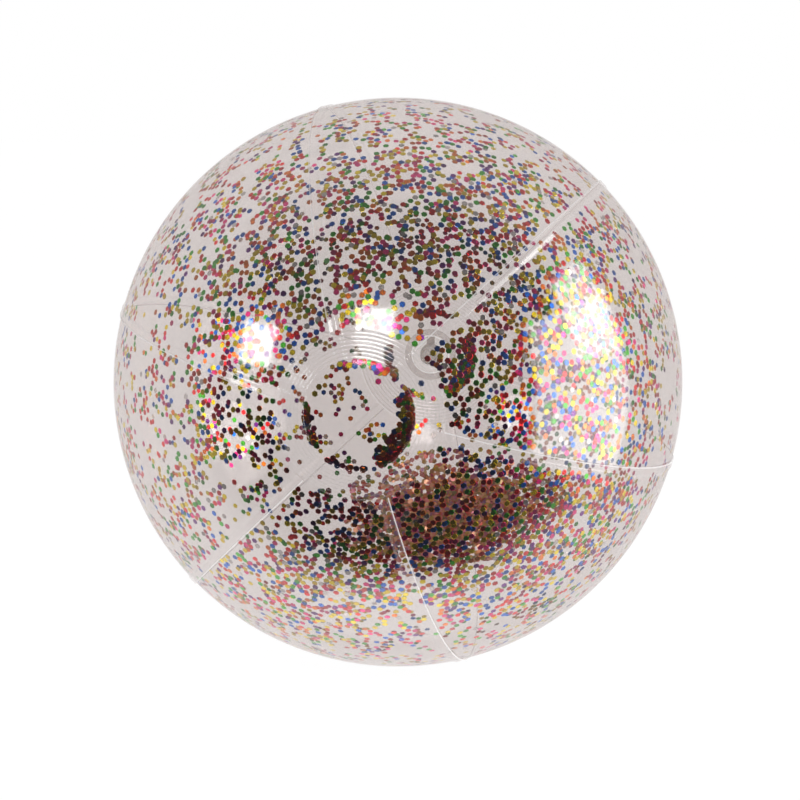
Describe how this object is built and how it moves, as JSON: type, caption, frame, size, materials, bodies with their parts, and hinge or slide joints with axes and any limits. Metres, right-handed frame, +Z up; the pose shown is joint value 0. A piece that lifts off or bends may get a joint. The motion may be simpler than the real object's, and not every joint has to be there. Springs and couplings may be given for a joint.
{
  "type": "inflatable beach ball",
  "caption": "Clear inflatable beach ball with loose coloured foil sequins inside, gore panels with lap seams, welded end discs and a push-in valve with a tethered plug.",
  "frame": {"origin": "middle of the small flat patch where the ball rests on the floor, straight below the ball's centre", "axes": "+Z up; Y along the axis through the two end discs, with the valve's disc facing +Y and the plain disc facing -Y; +X to the right when looking along +Y"},
  "size_m": [0.2594, 0.2602, 0.2587],
  "materials": {
    "panel_film": "gloss",
    "disc_film": "gloss",
    "valve_pvc": "satin",
    "plug_pvc": "satin",
    "foil_red": "gloss",
    "foil_orange": "gloss",
    "foil_gold": "gloss",
    "foil_green": "gloss",
    "foil_blue": "gloss",
    "foil_violet": "gloss",
    "foil_magenta": "gloss",
    "foil_silver": "gloss",
    "foil_mixed": "gloss"
  },
  "bodies": {
    "root": {"gore_panel_1": "panel_film", "gore_panel_2": "panel_film", "gore_panel_3": "panel_film", "gore_panel_4": "panel_film", "gore_panel_5": "panel_film", "gore_panel_6": "panel_film", "front_end_disc": "disc_film", "back_end_disc": "disc_film", "clinging_sequins_red": "foil_red", "clinging_sequins_orange": "foil_orange", "clinging_sequins_gold": "foil_gold", "clinging_sequins_green": "foil_green", "clinging_sequins_blue": "foil_blue", "clinging_sequins_violet": "foil_violet", "clinging_sequins_magenta": "foil_magenta", "clinging_sequins_silver": "foil_silver", "valve_flange": "valve_pvc", "valve_boot": "valve_pvc"},
    "valve_stem": {"valve_stem": "valve_pvc"},
    "valve_plug": {"valve_plug": "plug_pvc", "plug_strap": "plug_pvc"},
    "check_flap": {"check_flap": "valve_pvc"},
    "sequin_drift": {"sequin_drift": "foil_mixed"}
  },
  "joints": [
    {"name": "valve_pull", "type": "slide", "parent": "root", "child": "valve_stem", "axis": [0, 1, 0], "range_m": [0, 0.015], "deforming": ["valve_boot"]},
    {"name": "plug_swing", "type": "hinge", "parent": "valve_stem", "child": "valve_plug", "pos_m": [0, 0.12941, 0.1373], "axis": [1, 0, 0], "range_deg": [0, 150]},
    {"name": "flap_open", "type": "hinge", "parent": "valve_stem", "child": "check_flap", "pos_m": [0, 0.11921, 0.1332], "axis": [-1, 0, 0], "range_deg": [0, 45], "stiffness_Nm_per_rad": 0.00002, "springref_deg": -5.73},
    {"name": "drift_roll", "type": "hinge", "parent": "root", "child": "sequin_drift", "pos_m": [0, 0, 0.129], "axis": [0, 1, 0], "continuous": true}
  ]
}
